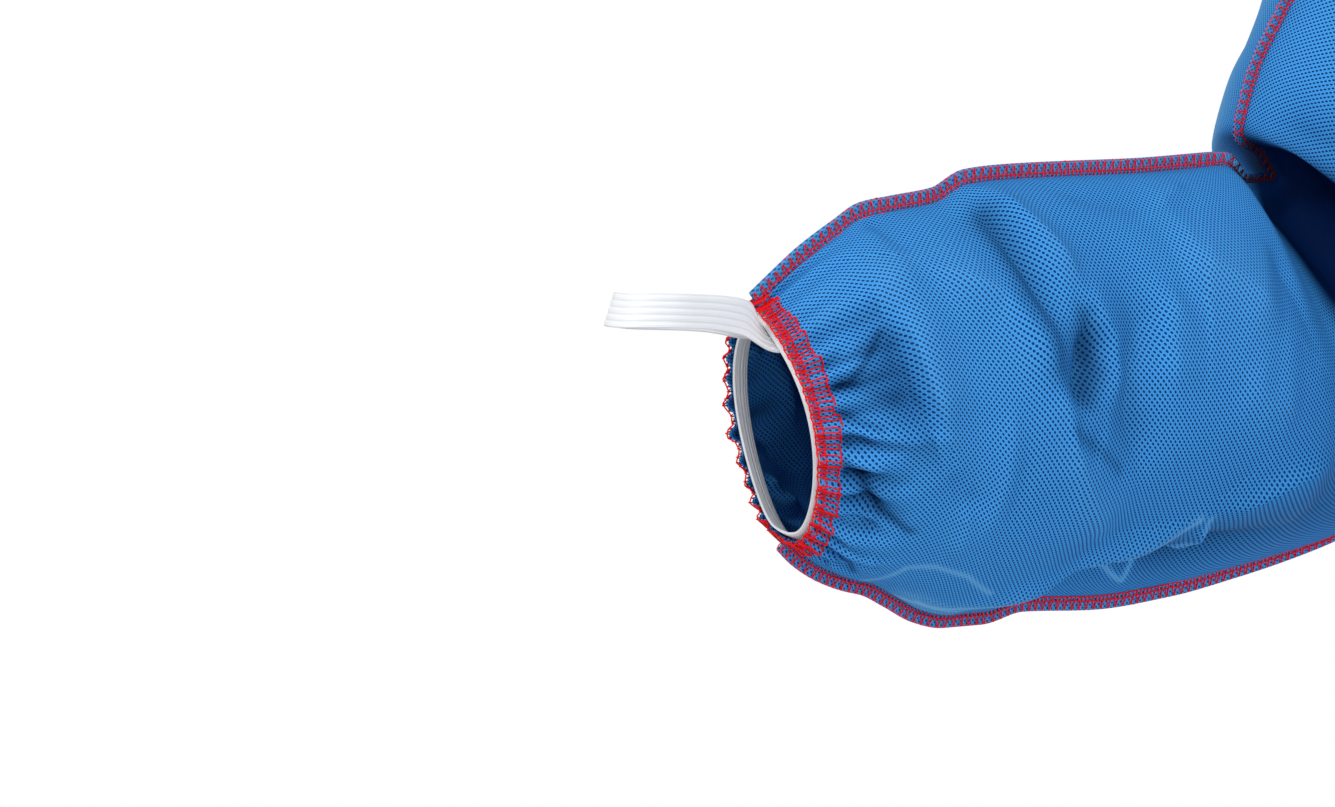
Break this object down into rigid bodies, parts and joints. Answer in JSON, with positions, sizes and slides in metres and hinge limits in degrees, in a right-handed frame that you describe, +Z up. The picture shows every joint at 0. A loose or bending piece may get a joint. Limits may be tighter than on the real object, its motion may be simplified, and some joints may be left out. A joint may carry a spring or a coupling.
{
  "type": "disposable hooded coverall",
  "caption": "Hooded one-piece coverall of thin nonwoven cloth with gathered cuffs and ankles, thumb loops and a front zip, in the form it has when worn, one forearm raised.",
  "frame": {"origin": "middle of the neck opening at shoulder height, where the wearer's shoulders carry the garment", "axes": "+Z up, the zip faces -Y, the wearer's right side is at -X"},
  "size_m": [1.0874, 0.3804, 1.7202],
  "materials": {
    "cloth": "matte nonwoven with small embossed dots",
    "elastic": "knitted elastic",
    "zip": "satin",
    "slider_metal": "satin"
  },
  "bodies": {
    "coverall": {"ankle_left": "elastic", "ankle_right": "elastic", "back_left": "cloth", "back_right": "cloth", "cuff_left": "elastic", "cuff_right": "elastic", "front_left": "cloth", "front_right": "cloth", "hood_elastic": "elastic", "hood_left": "cloth", "hood_right": "cloth", "sleeve_left_back": "cloth", "sleeve_left_front": "cloth", "sleeve_right_back": "cloth", "sleeve_right_front": "cloth", "thumb_loop_left": "elastic", "thumb_loop_right": "elastic", "zip_chain": "zip", "zip_slider": "slider_metal", "zip_tape_left": "zip", "zip_tape_right": "zip"},
    "pull_tab": {"zip_pull": "slider_metal"}
  },
  "joints": [
    {"name": "pull_tab_hinge", "type": "hinge", "parent": "coverall", "child": "pull_tab", "pos_m": [0, -0.09531, -0.0679], "axis": [-1, 0, 0], "range_deg": [0, 150]}
  ]
}
